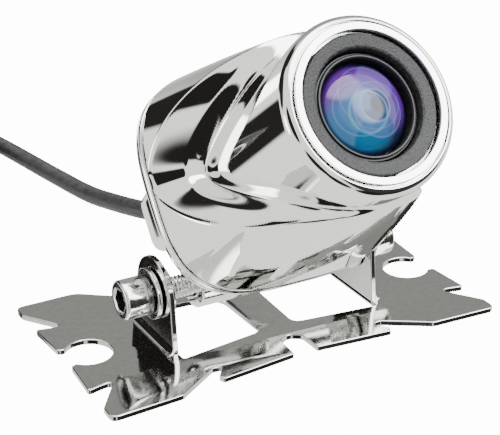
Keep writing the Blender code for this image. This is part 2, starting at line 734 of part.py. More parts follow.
def build_cable(mats):
    exit_end = TAIL_BACK + GAP + GLAND_LEN + GAP
    start = head_matrix() @ Vector(lens_point(0, EXIT_Z, exit_end))
    along = head_matrix() @ Vector(lens_point(0, EXIT_Z, exit_end + 5)) - start
    lie = CABLE_R + FLOOR_GAP
    clear = coil_solid_outer() + GAP + CABLE_R
    back = math.sqrt(clear ** 2 - coil_turn_outer() ** 2)
    entry = coil_point(coil_turn_outer(), COIL_START_DEG, lie)
    lead_in = entry - coil_tangent(COIL_START_DEG) * back
    route = [start, start + along] + [Vector(point) for point in CABLE_ROUTE] + [lead_in]
    tube("cable", smooth_route(route, 2.6 * CABLE_R), mats["cable"])

    inner = COIL_MEAN_R - (COIL_ABREAST - 1) * COIL_PITCH / 2 - CABLE_R - COIL_SLACK
    top = FLOOR_GAP + 2 * CABLE_R + (COIL_LAYERS - 1) * COIL_PITCH
    ring = ring_profile(inner, coil_solid_outer(), FLOOR_GAP, top)
    bm = turned(ring, lambda u, v, h: (COIL_CENTRE[0] + u, COIL_CENTRE[1] + v, h), ROUND)
    new_object("cable_coil", bm, mats["cable"])

    frame = plug_frame()
    rear = frame @ Vector((-GAP, 0, 0))
    before = frame @ Vector((-5, 0, 0.1))
    leaving = coil_point(clear + 0.1, PLUG_SIDE_DEG - 46, lie + COIL_PITCH)
    tube("cable_tail", smooth_route([leaving, before, rear], 2.4 * CABLE_R), mats["cable"])


def build_plug(mats):
    """Waterproof push-fit plug: ribbed boot, gripped body, sealing ring and four pins in a sleeve."""
    frame = plug_frame()

    def along(u, v, h):
        return tuple(frame @ Vector((h, u, v)))

    mouth = PLUG_LEN
    body = [
        (0, 0), (CABLE_R + 0.7, 0), (CABLE_R + 1.5, 5.0), (PLUG_R, 6.2), (PLUG_R, 11.0), (PLUG_R + 0.6, 11.3),
        (PLUG_R + 0.6, 12.7), (PLUG_R - 0.9, 13.0), (PLUG_R - 0.9, 14.0), (PLUG_R - 1.3, 14.0), (PLUG_R - 1.3, 15.4),
        (PLUG_R - 0.9, 15.4), (PLUG_R - 0.9, mouth), (PLUG_R - 1.7, mouth), (PLUG_R - 1.7, 13.4), (0, 13.4),
    ]
    new_object("plug_body", turned(body, along, 32), mats["rubber"])
    ring = circle_profile(PLUG_R - 1.3 + GAP + 0.45, 14.7, 0.4, 8)
    new_object("plug_seal", turned(ring, along, 24), mats["nylon"])
    for number, deg in enumerate((45, 135, 225, 315), 1):
        u, v = polar(1.5, deg)
        pin = [(0, 13.4 + GAP), (0.45, 13.4 + GAP), (0.45, mouth - 1.2), (0.2, mouth - 0.8), (0, mouth - 0.8)]
        at = (lambda a, b, h, u=u, v=v: along(a + u, b + v, h))
        new_object("plug_pin_%d" % number, turned(pin, at, 10), mats["brass"])


def main():
    clear_scene()
    mats = make_materials()
    head = bpy.data.objects.new("head_pivot", None)
    bpy.context.scene.collection.objects.link(head)
    head.matrix_world = Matrix.Translation((0, PIVOT_Y * MM, PIVOT_Z * MM)) @ Matrix.Rotation(
        math.radians(-TILT_DEG), 4, "X")
    build_bracket(mats)
    build_housing(mats, head)
    build_front(mats, head)
    build_lens(mats, head)
    build_electronics(mats, head)
    build_rear(mats, head)
    build_pivot_hardware(mats, head)
    build_cable(mats)
    build_plug(mats)


main()
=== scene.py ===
"""Looks of the backup camera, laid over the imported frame."""
import math
import bmesh
import bpy
from mathutils import Matrix, Vector


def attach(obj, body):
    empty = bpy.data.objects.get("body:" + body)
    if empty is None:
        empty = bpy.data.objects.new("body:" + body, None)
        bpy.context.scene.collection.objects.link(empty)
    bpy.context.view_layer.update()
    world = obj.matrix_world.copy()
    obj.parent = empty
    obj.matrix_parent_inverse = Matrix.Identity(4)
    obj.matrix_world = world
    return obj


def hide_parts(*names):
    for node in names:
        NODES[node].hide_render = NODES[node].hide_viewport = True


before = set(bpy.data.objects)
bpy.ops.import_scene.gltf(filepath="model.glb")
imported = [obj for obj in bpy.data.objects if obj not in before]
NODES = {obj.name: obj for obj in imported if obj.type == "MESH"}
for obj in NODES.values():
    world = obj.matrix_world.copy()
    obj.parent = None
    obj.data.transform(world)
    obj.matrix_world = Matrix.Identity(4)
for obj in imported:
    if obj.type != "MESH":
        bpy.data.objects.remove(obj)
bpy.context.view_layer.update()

MM = 0.001

# Lengths are in millimetres, apart from those said to be in metres, and are scaled to metres as a piece is made.
# Head: the lens axis leans back by this much about the pivot
TILT_DEG = 37.2
PIVOT_Y = -0.9
PIVOT_Z = 9.6
TILT = Matrix.Translation((0, PIVOT_Y, PIVOT_Z)) @ Matrix.Rotation(math.radians(-TILT_DEG), 4, "X")
REACH = 51.75
RISE = 12.6


def head_point(x, z, depth):
    return TILT @ Vector((x, depth - REACH, RISE + z))


def pivot_axis_point(u, v, x):
    return TILT @ Vector((x, u, v))


# ------------------------------------------------------------------ materials

class Nodes:
    """Short forms for building a node tree."""

    def __init__(self, tree):
        self.tree = tree
        self.tree.nodes.clear()

    def add(self, kind, **values):
        node = self.tree.nodes.new(kind)
        for key, value in values.items():
            setattr(node, key, value)
        return node

    def link(self, source, target):
        self.tree.links.new(source, target)

    def value(self, socket, value):
        if hasattr(value, "is_output"):
            self.link(value, socket)
        else:
            socket.default_value = value

    def math(self, operation, a, b=0.0, c=0.0):
        node = self.add("ShaderNodeMath", operation=operation)
        for socket, value in zip(node.inputs, (a, b, c)):
            self.value(socket, value)
        return node.outputs[0]

    def ramp(self, factor, stops):
        node = self.add("ShaderNodeValToRGB")
        items = node.color_ramp.elements
        while len(items) < len(stops):
            items.new(0.5)
        for item, (place, colour) in zip(items, stops):
            item.position = place
            item.color = (*colour, 1.0)
        self.link(factor, node.inputs[0])
        return node.outputs[0]

    def noise(self, scale, detail=4.0, vector=None, distortion=0.0):
        node = self.add("ShaderNodeTexNoise")
        node.inputs["Scale"].default_value = scale
        node.inputs["Detail"].default_value = detail
        node.inputs["Distortion"].default_value = distortion
        if vector is None:
            vector = self.add("ShaderNodeTexCoord").outputs["Object"]
        self.link(vector, node.inputs["Vector"])
        return node.outputs["Fac"]

    def range(self, value, low, high, to_low, to_high, smooth=False):
        node = self.add("ShaderNodeMapRange")
        node.interpolation_type = "SMOOTHSTEP" if smooth else "LINEAR"
        self.link(value, node.inputs[0])
        for socket, number in zip(node.inputs[1:5], (low, high, to_low, to_high)):
            socket.default_value = number
        return node.outputs[0]

    def mix(self, factor, a, b, blend="MIX"):
        node = self.add("ShaderNodeMix", data_type="RGBA", blend_type=blend)
        self.value(node.inputs[0], factor)
        for socket, value in ((node.inputs[6], a), (node.inputs[7], b)):
            if isinstance(value, tuple):
                value = (*value, 1.0)
            self.value(socket, value)
        return node.outputs[2]

    def constant(self, colour):
        return self.mix(1.0, colour, colour)


def surface(name, colours, rough, metallic=0.0, scale=900.0, bump=0.0, bump_scale=None, coat=0.0):
    """A procedural material: mottled colour and roughness, with a fine bump."""
    mat = bpy.data.materials.new(name)
    mat.use_nodes = True
    n = Nodes(mat.node_tree)
    shader = n.add("ShaderNodeBsdfPrincipled")
    out = n.add("ShaderNodeOutputMaterial")
    n.link(shader.outputs[0], out.inputs[0])
    vector = n.add("ShaderNodeTexCoord").outputs["Object"]
    noise = n.noise(scale, 5.0, vector)
    colour = n.ramp(noise, [(0.3, colours[0]), (0.7, colours[1])])
    n.link(colour, shader.inputs["Base Color"])
    n.link(n.range(noise, 0.3, 0.7, rough[0], rough[1]), shader.inputs["Roughness"])
    shader.inputs["Metallic"].default_value = metallic
    shader.inputs["Coat Weight"].default_value = coat
    if bump:
        fine = n.noise(bump_scale or scale, 6.0, vector)
        node = n.add("ShaderNodeBump")
        node.inputs["Strength"].default_value = bump
        node.inputs["Distance"].default_value = 0.0002
        n.link(fine, node.inputs["Height"])
        n.link(node.outputs[0], shader.inputs["Normal"])
    return mat


def lens_painted_reflections():
    """Dark glass with the reflections of its coating painted on: cyan, violet and lilac patches in overlapping
    rings, which glow through the emission.
    """
    mat = bpy.data.materials.new("front_glass_painted_reflections")
    mat.use_nodes = True
    n = Nodes(mat.node_tree)
    shader = n.add("ShaderNodeBsdfPrincipled")
    out = n.add("ShaderNodeOutputMaterial")
    n.link(shader.outputs[0], out.inputs[0])
    centre = head_point(0, 0, 2.0) * MM
    coord = n.add("ShaderNodeTexCoord").outputs["Object"]
    shift = n.add("ShaderNodeVectorMath", operation="SUBTRACT")
    n.link(coord, shift.inputs[0])
    shift.inputs[1].default_value = centre
    up = TILT.to_3x3() @ Vector((0, 0, 1))
    across = n.add("ShaderNodeVectorMath", operation="DOT_PRODUCT")
    n.link(shift.outputs[0], across.inputs[0])
    across.inputs[1].default_value = (1000, 0, 0)
    rise = n.add("ShaderNodeVectorMath", operation="DOT_PRODUCT")
    n.link(shift.outputs[0], rise.inputs[0])
    rise.inputs[1].default_value = up * 1000
    x = across.outputs["Value"]
    z = rise.outputs["Value"]

    def disc(cx, cz, radius, soft):
        dx = n.math("SUBTRACT", x, cx)
        dz = n.math("SUBTRACT", z, cz)
        dist = n.math("SQRT", n.math("ADD", n.math("MULTIPLY", dx, dx), n.math("MULTIPLY", dz, dz)))
        return n.range(dist, radius - soft, radius + soft, 1.0, 0.0, True)

    def ring(cx, cz, radius, width, soft):
        outer = disc(cx, cz, radius + width / 2, soft)
        inner = disc(cx, cz, radius - width / 2, soft)
        return n.math("SUBTRACT", outer, inner)

    colour = n.constant((0.012, 0.02, 0.07))
    # Painted reflections: coloured patches and rings, darker spots, and a dark band at the rim, all laid over
    # the dark glass.
    painted_reflection_patches = (
        (disc(-2.6, 2.8, 4.6, 1.8), (0.2, 0.03, 0.42), 0.95),
        (disc(3.6, 0.8, 4.4, 1.6), (0.16, 0.025, 0.38), 0.92),
        (disc(-3.2, -2.2, 4.2, 1.6), (0.005, 0.2, 0.45), 0.95),
        (disc(-0.4, -3.4, 3.2, 1.2), (0.01, 0.26, 0.5), 0.8),
        (disc(2.4, 3.4, 3.1, 0.3), (0.34, 0.2, 0.66), 0.6),
        (disc(1.2, -0.8, 4.3, 0.3), (0.3, 0.32, 0.75), 0.22),
        (disc(-1.0, -0.2, 3.9, 0.25), (0.2, 0.45, 0.8), 0.2),
        (ring(0.6, 1.2, 5.0, 0.16, 0.12), (0.45, 0.36, 0.85), 0.4),
        (ring(-1.6, -0.2, 4.1, 0.15, 0.12), (0.3, 0.55, 0.85), 0.4),
        (ring(1.2, -0.8, 4.2, 0.18, 0.14), (0.45, 0.45, 0.9), 0.4),
        (disc(0.7, -0.3, 2.6, 0.4), (0.01, 0.03, 0.16), 0.8),
        (ring(0.7, -0.3, 2.5, 0.35, 0.2), (0.4, 0.58, 0.95), 0.6),
        (ring(-0.6, -1.0, 3.1, 0.3, 0.2), (0.25, 0.7, 0.9), 0.6),
        (disc(-0.9, 0.5, 1.4, 0.4), (0.25, 0.5, 0.85), 0.5),
        (disc(0.9, -0.2, 1.2, 0.3), (0.005, 0.01, 0.07), 0.9),
        (ring(0, 0, 7.1, 0.9, 0.4), (0.004, 0.006, 0.02), 0.95),
    )
    for mask, tint, amount in painted_reflection_patches:
        colour = n.mix(n.math("MULTIPLY", mask, amount), colour, tint)
    wobble = n.noise(260.0, 3.0, coord, 1.5)
    colour = n.mix(n.range(wobble, 0.35, 0.65, 0.0, 0.35), colour, (0.5, 0.62, 0.95), "SOFT_LIGHT")
    n.link(n.mix(1.0, colour, (0.22, 0.22, 0.24), "MULTIPLY"), shader.inputs["Base Color"])
    # Painted glow: the painted reflection colour drives the emission.
    n.link(colour, shader.inputs["Emission Color"])
    shader.inputs["Emission Strength"].default_value = 0.3
    shader.inputs["Roughness"].default_value = 0.03
    shader.inputs["Coat Weight"].default_value = 0.05
    shader.inputs["Coat Roughness"].default_value = 0.02
    return mat


M = {
    "chrome": surface(
        "chrome_plating", [(0.86, 0.86, 0.845), (0.9, 0.9, 0.885)], (0.025, 0.05),
        metallic=1.0, scale=350.0,
    ),
    "bezel": surface(
        "bezel_chrome", [(0.93, 0.93, 0.93), (0.97, 0.97, 0.97)], (0.1, 0.16),
        metallic=1.0, scale=500.0,
    ),
    "steel": surface(
        "polished_stamped_steel", [(0.56, 0.56, 0.545), (0.64, 0.64, 0.625)], (0.05, 0.1),
        metallic=1.0, bump=0.025, bump_scale=4200.0,
    ),
    "fastener": surface(
        "bright_fastener", [(0.7, 0.7, 0.69), (0.82, 0.82, 0.8)], (0.08, 0.18),
        metallic=1.0, bump=0.05,
    ),
    # Dark steel for the split washers; the same material paints shade into the hex sockets of the pivot screws.
    "spring": surface(
        "spring_steel", [(0.1, 0.1, 0.1), (0.2, 0.2, 0.2)], (0.25, 0.4),
        metallic=1.0,
    ),
    "trim": surface(
        "textured_trim_ring", [(0.006, 0.006, 0.007), (0.028, 0.029, 0.031)], (0.45, 0.6),
        scale=1800.0, bump=0.9, bump_scale=3000.0,
    ),
    "black": surface(
        "black_anodised_part", [(0.008, 0.008, 0.009), (0.016, 0.016, 0.018)], (0.3, 0.45),
        metallic=0.2, scale=1500.0, bump=0.1,
    ),
    "rubber": surface(
        "black_rubber_part", [(0.014, 0.014, 0.014), (0.026, 0.026, 0.027)], (0.5, 0.7),
        scale=1200.0, bump=0.2, bump_scale=3500.0,
    ),
    "cable": surface(
        "cable_jacket_matt", [(0.014, 0.014, 0.015), (0.028, 0.028, 0.03)], (0.4, 0.55),
        scale=700.0, bump=0.15, bump_scale=2500.0,
    ),
    "board": surface(
        "solder_mask", [(0.01, 0.11, 0.035), (0.02, 0.19, 0.07)], (0.25, 0.4),
        scale=600.0, coat=0.3,
    ),
    "sensor": surface(
        "sensor_cover", [(0.03, 0.04, 0.07), (0.07, 0.06, 0.12)], (0.08, 0.15),
        metallic=0.3, scale=500.0, coat=0.5,
    ),
    "nylon": surface(
        "nylon_part", [(0.74, 0.73, 0.69), (0.84, 0.83, 0.79)], (0.35, 0.5),
        scale=800.0, bump=0.05,
    ),
    "brass": surface(
        "brass_part", [(0.7, 0.5, 0.2), (0.82, 0.62, 0.28)], (0.18, 0.3),
        metallic=1.0, scale=800.0,
    ),
    "inner_glass": surface(
        "inner_element", [(0.1, 0.12, 0.3), (0.16, 0.12, 0.4)], (0.02, 0.05),
        scale=300.0, coat=0.8,
    ),
    "filter": surface(
        "filter_element", [(0.25, 0.55, 0.6), (0.35, 0.65, 0.7)], (0.03, 0.08),
        scale=300.0, coat=0.6,
    ),
    "lens": lens_painted_reflections(),
}

# ------------------------------------------------------------------ mesh helpers

def finish_mesh(name, bm, mat, body, nodes=(), sharp=35, bevel=0.0):
    bmesh.ops.scale(bm, vec=(MM, MM, MM), verts=bm.verts)
    bmesh.ops.recalc_face_normals(bm, faces=bm.faces)
    mesh = bpy.data.meshes.new(name)
    bm.to_mesh(mesh)
    bm.free()
    mesh.shade_smooth()
    mesh.set_sharp_from_angle(angle=math.radians(sharp))
    mesh.materials.append(mat)
    obj = bpy.data.objects.new(name, mesh)
    bpy.context.scene.collection.objects.link(obj)
    if bevel:
        mod = obj.modifiers.new("edge", "BEVEL")
        mod.width = bevel * MM
        mod.segments = 2
        mod.limit_method = "ANGLE"
        mod.angle_limit = math.radians(40)
    if body:
        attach(obj, body)
    if nodes:
        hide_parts(*nodes)
    return obj


def grid(bm, columns, closed=True):
    """Skin columns of points; every column is a closed loop when closed is true."""
    verts = [[bm.verts.new(point) for point in column] for column in columns]
    rows = len(verts[0])
    for i in range(len(verts)):
        a, b = verts[i], verts[(i + 1) % len(verts)]
        for j in range(rows if closed else rows - 1):
            k = (j + 1) % rows
            bm.faces.new((a[j], b[j], b[k], a[k]))
    return verts


def lathe(bm, profile, to_point, segments=96):
    """Turn a closed profile of (radius, height)."""
    columns = []
    for i in range(segments):
        angle = 2 * math.pi * i / segments
        cos, sin = math.cos(angle), math.sin(angle)
        columns.append([to_point(r * cos, r * sin, h) for r, h in profile])
    grid(bm, columns)
    bmesh.ops.remove_doubles(bm, verts=bm.verts, dist=0.0004)


def soften(profile, radius, steps=4):
    """Round the corners of a closed profile."""
    result = []
    count = len(profile)
    for i, corner in enumerate(profile):
        here = Vector(corner[:2])
        before = Vector(profile[i - 1][:2])
        after = Vector(profile[(i + 1) % count][:2])
        size = corner[2] if len(corner) > 2 else radius
        into = (before - here)
        out = (after - here)
        if size <= 0 or into.length < 1e-6 or out.length < 1e-6:
            result.append(tuple(here))
            continue
        half = into.angle(out) / 2
        reach = min(size / max(math.tan(half), 1e-3), 0.45 * into.length, 0.45 * out.length)
        start = here + into.normalized() * reach
        end = here + out.normalized() * reach
        for k in range(steps + 1):
            t = k / steps
            result.append(tuple(start * (1 - t) ** 2 + here * 2 * t * (1 - t) + end * t ** 2))
    return result


def loft(bm, rings):
    loops = [[bm.verts.new(point) for point in ring] for ring in rings]
    count = len(loops[0])
    for a, b in zip(loops, loops[1:]):
        for i in range(count):
            j = (i + 1) % count
            bm.faces.new((a[i], a[j], b[j], b[i]))
    bm.faces.new(loops[0])
    bm.faces.new(loops[-1])


def step(low, high, value):
    t = min(1.0, max(0.0, (value - low) / (high - low)))
    return t * t * (3 - 2 * t)


def super_radius(angle, half_w, half_h, power):
    cos, sin = abs(math.cos(angle)) / half_w, abs(math.sin(angle)) / half_h
    return (cos ** power + sin ** power) ** (-1 / power)


# ------------------------------------------------------------------ camera head

BARREL_R = 14.2
BODY_FRONT = 4.0
BODY_BACK = 37.0
SHOULDER = 2.0
FRONT_HALF = 13.4
FRONT_POWER = 2.0
BACK_HALF_W = 21.4
BACK_HALF_H = 19.4
BACK_RISE = 0.8
BACK_POWER = 3.2
BODY_EASE = 0.6
SCOOP_APEX = 31.5
SCOOP_SLOPE = 2.0
SCOOP_RISE = 2.0
SCOOP_WALL = 2.2
SCOOP_BANK = 0.9
SCOOP_ROUNDING = 20.0
SCOOP_DROP = 4.47
BORE_R = 10.6
SEAT_R = 11.2
SEAT_DEPTH = 4.5
BEZEL_SEAT_R = 12.9
BEZEL_SEAT_DEPTH = 1.6
GLASS_R = 7.3
GLASS_SAG = 3.0
TAIL_HALF = 16.4
LUG_HALF = 13.2
LUG_R = 4.4


def outline_radius(angle, half_w, half_h, rise, power):
    height = half_h + rise if math.sin(angle) > 0 else half_h - rise
    return super_radius(angle, half_w, height, power)


def housing_radius(angle, depth):
    """Outer radius of the shell: the barrel, and the body outside the scoops."""
    t = min(1.0, max(0.0, (depth - BODY_FRONT) / (BODY_BACK - BODY_FRONT)))
    ease = t ** BODY_EASE
    half_w = FRONT_HALF + ease * (BACK_HALF_W - FRONT_HALF)
    half_h = FRONT_HALF + ease * (BACK_HALF_H - FRONT_HALF)
    body = outline_radius(angle, half_w, half_h, BACK_RISE * t, FRONT_POWER + (BACK_POWER - FRONT_POWER) * t)
    if body <= BARREL_R:
        return BARREL_R
    height = (BARREL_R + body) / 2 * math.sin(angle) - SCOOP_RISE
    rounded = math.sqrt(height * height + SCOOP_ROUNDING) - SCOOP_DROP
    behind = depth - (SCOOP_APEX - SCOOP_SLOPE * rounded)
    bank = BARREL_R + SCOOP_WALL + SCOOP_BANK * max(0.0, behind)
    return BARREL_R + (min(body, bank) - BARREL_R) * step(-0.7, 0.9, behind)


def build_housing():
    bm = bmesh.new()
    depths = [SHOULDER + (BODY_BACK - 0.5 - SHOULDER) * k / 170 for k in range(171)]
    columns = []
    around = 420
    lip = BARREL_R - BEZEL_SEAT_R
    for i in range(around):
        angle = 2 * math.pi * i / around
        cos, sin = math.cos(angle), math.sin(angle)
        line = [(BEZEL_SEAT_R, BEZEL_SEAT_DEPTH), (BEZEL_SEAT_R, 0.2), (BEZEL_SEAT_R + 0.03, 0.05)]
        for k in range(14):
            lift = math.radians(6 + 84 * k / 14)
            line.append((BEZEL_SEAT_R + lip * math.sin(lift), SHOULDER * (1 - math.cos(lift))))
        line += [(housing_radius(angle, depth), depth) for depth in depths]
        edge = housing_radius(angle, BODY_BACK)
        line += [(edge - 0.05, BODY_BACK - 0.2), (edge - 0.25, BODY_BACK - 0.03), (edge - 0.5, BODY_BACK)]
        line += [(BORE_R, BODY_BACK), (BORE_R, SEAT_DEPTH), (SEAT_R, SEAT_DEPTH), (SEAT_R, BEZEL_SEAT_DEPTH)]
        columns.append([head_point(r * cos, r * sin, depth) for r, depth in line])
    grid(bm, columns)
    return finish_mesh("housing_shell", bm, M["chrome"], "head", ["housing"], sharp=60)


def build_front():
    bm = bmesh.new()
    bezel = soften([(11.3, 0.1), (11.4, -0.25), (12.5, -0.25), (12.6, 0.1), (12.6, 1.3), (11.3, 1.3)], 0.1, 5)
    lathe(bm, bezel, head_point, 160)
    finish_mesh("bezel_band", bm, M["bezel"], "head", ["bezel_ring"])
    bm = bmesh.new()
    trim = soften([
        (8.7, 1.6), (8.8, 0.75), (9.1, 0.55), (10.75, 0.35), (10.95, 0.5), (10.95, 1.6), (10.9, 1.9),
        (10.9, 4.0), (8.7, 4.0),
    ], 0.15, 4)
    lathe(bm, trim, head_point, 160)
    finish_mesh("trim_band", bm, M["trim"], "head", ["trim_ring"])
    bm = bmesh.new()
    barrel = soften([
        (7.6, 1.8), (7.7, 1.5), (8.0, 1.5), (8.1, 1.9), (8.4, 1.9), (8.4, 5.6), (7.2, 5.6), (7.2, 15),
        (4.9, 15), (4.9, 9.8), (5.6, 9.4), (5.6, 5.4), (7.6, 5.4),
    ], 0.1, 3)
    lathe(bm, barrel, head_point, 128)
    finish_mesh("lens_tube", bm, M["black"], "head", ["lens_barrel"])
    bm = bmesh.new()
    sphere = (GLASS_R ** 2 + GLASS_SAG ** 2) / (2 * GLASS_SAG)
    dome = []
    for k in range(29):
        r = GLASS_R * k / 28
        dome.append((r, 0.3 + sphere - math.sqrt(sphere ** 2 - r ** 2)))
    dome += [(GLASS_R, 5.0), (0.0, 5.0)]
    lathe(bm, dome, head_point, 128)
    finish_mesh("front_glass", bm, M["lens"], "head", ["front_element"])


def super_ring(inset, depth, count=160):
    points = []
    for i in range(count):
        angle = 2 * math.pi * i / count
        r = outline_radius(angle, BACK_HALF_W - inset, BACK_HALF_H - inset, BACK_RISE, BACK_POWER)
        points.append(head_point(r * math.cos(angle), r * math.sin(angle), depth))
    return points


def build_rear():
    bm = bmesh.new()
    front, back = 38.3, 40.9
    profile = ((0.9, front), (0.35, front), (0.1, front + 0.1), (0.0, front + 0.35), (0.0, back - 1.0),
               (0.12, back - 0.6), (0.4, back - 0.25), (0.8, back - 0.05), (1.2, back))
    loft(bm, [super_ring(inset, depth) for inset, depth in profile])
    sections = ((0.0, back - 0.6), (0.5, 54.0), (0.8, 57.4), (1.1, 58.2), (1.7, 58.8), (2.6, 59.0))
    rings = []
    for inset, depth in sections:
        half = TAIL_HALF - inset
        corners = [(-half, -6.2 + inset), (half, -6.2 + inset), (half, 6.2 - inset), (-half, 6.2 - inset)]
        rings.append([head_point(x, z, depth) for x, z in soften(corners, 2.6, 8)])
    loft(bm, rings)
    web = [(back - 0.8, -4.2), (back - 0.8, -10.6), (48.2, -15.2), (55.7, -12.9), (56.1, -4.2)]
    loft(bm, [[head_point(x, z, depth) for depth, z in soften(web, 0.8, 4)] for x in (-12.8, 12.8)])
    lug = soften([(2.3, -LUG_HALF, 0), (LUG_R, -LUG_HALF), (LUG_R, LUG_HALF), (2.3, LUG_HALF, 0)], 0.5, 4)
    lathe(bm, lug, pivot_axis_point, 96)
    finish_mesh("rear_cover_shell", bm, M["chrome"], "head", ["rear_cover"], sharp=30)
    bm = bmesh.new()
    seal = ((0.9, 37.3), (0.6, 37.5), (0.6, 37.8), (0.9, 38.0))
    loft(bm, [super_ring(inset, depth) for inset, depth in seal])
    finish_mesh("rear_seal_band", bm, M["rubber"], "head", ["rear_gasket"])


SCREW_R = 2.0
THREAD_DEPTH = 0.42
THREAD_PITCH = 0.7
THREAD_START = 7.4
THREAD_END = 22.8
SCREW_HEAD_R = 3.5
SOCKET_HALF = 1.75
WASHER_BORE_R = 2.3
WASHER_R = 4.5
WASHER_T = 0.8
SPLIT_START = 21.8


def in_socket(vert):
    local = TILT.inverted() @ vert.co
    return abs(local.x) < 26.51 and local.yz.length < 2.1


def build_screws():
    for side, label in ((-1, "left"), (1, "right")):

        def along(u, v, x, side=side):
            return TILT @ Vector((side * x, u, v))

        bm = bmesh.new()
        columns = []
        for i in range(96):
            angle = 2 * math.pi * i / 96
            hexagon = SOCKET_HALF / math.cos((angle + math.pi / 6) % (math.pi / 3) - math.pi / 6)
            line = [
                (hexagon, 24.4), (hexagon, 26.5), (hexagon + 0.15, 26.62), (2.45, 26.7), (3.0, 26.7),
                (3.25, 26.64), (3.42, 26.48), (SCREW_HEAD_R, 26.2), (SCREW_HEAD_R, 22.95), (3.4, 22.75),
                (3.2, 22.7), (SCREW_R, 22.7), (SCREW_R, 22.9),
            ]
            columns.append([along(r * math.cos(angle), r * math.sin(angle), x) for r, x in line])
        verts = grid(bm, columns, closed=False)
        # Painted shade: the hex socket's floor and walls take the dark split-washer material.
        bm.faces.new([column[0] for column in verts]).material_index = 1
        for face in bm.faces:
            if all(in_socket(vert) for vert in face.verts):
                face.material_index = 1
        steps = 40
        columns = []
        for i in range(steps):
            angle = 2 * math.pi * i / steps
            line = []
            for j in range(150):
                x = THREAD_START + (THREAD_END - THREAD_START) * j / 149
                phase = (x / THREAD_PITCH - i / steps) % 1.0
                r = SCREW_R - THREAD_DEPTH * abs(2 * phase - 1)
                line.append(along(r * math.cos(angle), r * math.sin(angle), x))
            columns.append(line)
        verts = grid(bm, columns, closed=False)
        bm.faces.new([column[0] for column in verts])
        screw = finish_mesh("socket_screw_" + label, bm, M["fastener"], "head", ["pivot_screw_" + label],
                            sharp=40)
        # The dark split-washer material, used on the socket faces as painted shade.
        screw.data.materials.append(M["spring"])
        washers = (("outer_washer_", "flat_washer_", 20.7), ("lug_washer_", "inner_washer_", 18.3))
        for name, node, start in washers:
            bm = bmesh.new()
            end = start + WASHER_T
            ring = [(WASHER_BORE_R, start), (WASHER_R, start), (WASHER_R, end), (WASHER_BORE_R, end)]
            lathe(bm, soften(ring, 0.18, 4), along, 80)
            finish_mesh(name + label, bm, M["fastener"], "head", [node + label])
        bm = bmesh.new()
        rings = []
        section = soften([(2.3, 0.0), (3.5, 0.0), (3.5, 1.0), (2.3, 1.0)], 0.15, 3)
        for k in range(73):
            angle = math.radians(100 + 350 * k / 72)
            cos, sin = math.cos(angle), math.sin(angle)
            rings.append([along(r * cos, r * sin, SPLIT_START + h) for r, h in section])
        loft(bm, rings)
        finish_mesh("split_washer_" + label, bm, M["spring"], "head", ["spring_washer_" + label])


# ------------------------------------------------------------------ bracket

WING_REACH = 37.4
WING_HALF_DEPTH = 20.8
SLOT_X = 32.4
SLOT_R = 4.2
SLOT_MOUTH = 2.7
PLATE_T = 1.0
BRIDGE_HALF = 3.2
EAR_INSIDE = 19.4
EAR_T = 1.0
EAR_R = 6.4


def half_outline():
    reach = WING_REACH
    edge = WING_HALF_DEPTH
    mouth = SLOT_MOUTH
    deg = math.degrees(math.asin(mouth / SLOT_R))
    points = [
        (2.3, -17.4, 0.3), (16.4, -18.8, 0.4), (16.8, -17.7, 0.3), (14.9, -15.2, 0.5), (16.6, -15.0, 0.6),
        (24.6, -edge + 0.7, 1.5), (reach + 0.1, -edge, 3.4), (reach, -17.4, 0.8), (SLOT_X, -10.4, 0.9),
        (reach, -11.5, 0.6), (reach - 0.6, -mouth - 0.2, 1.0),
    ]
    for k in range(33):
        angle = math.radians(-deg + k * (-360 + 2 * deg) / 32)
        points.append((SLOT_X + SLOT_R * math.cos(angle), SLOT_R * math.sin(angle), 0))
    points += [
        (reach - 0.6, mouth + 0.2, 1.0), (reach, 11.5, 0.6), (SLOT_X, 10.4, 0.9), (reach, 17.4, 0.8),
        (reach + 0.1, edge, 3.4), (26.0, edge, 4.0), (12.0, 10.3, 6.0),
    ]
    return points


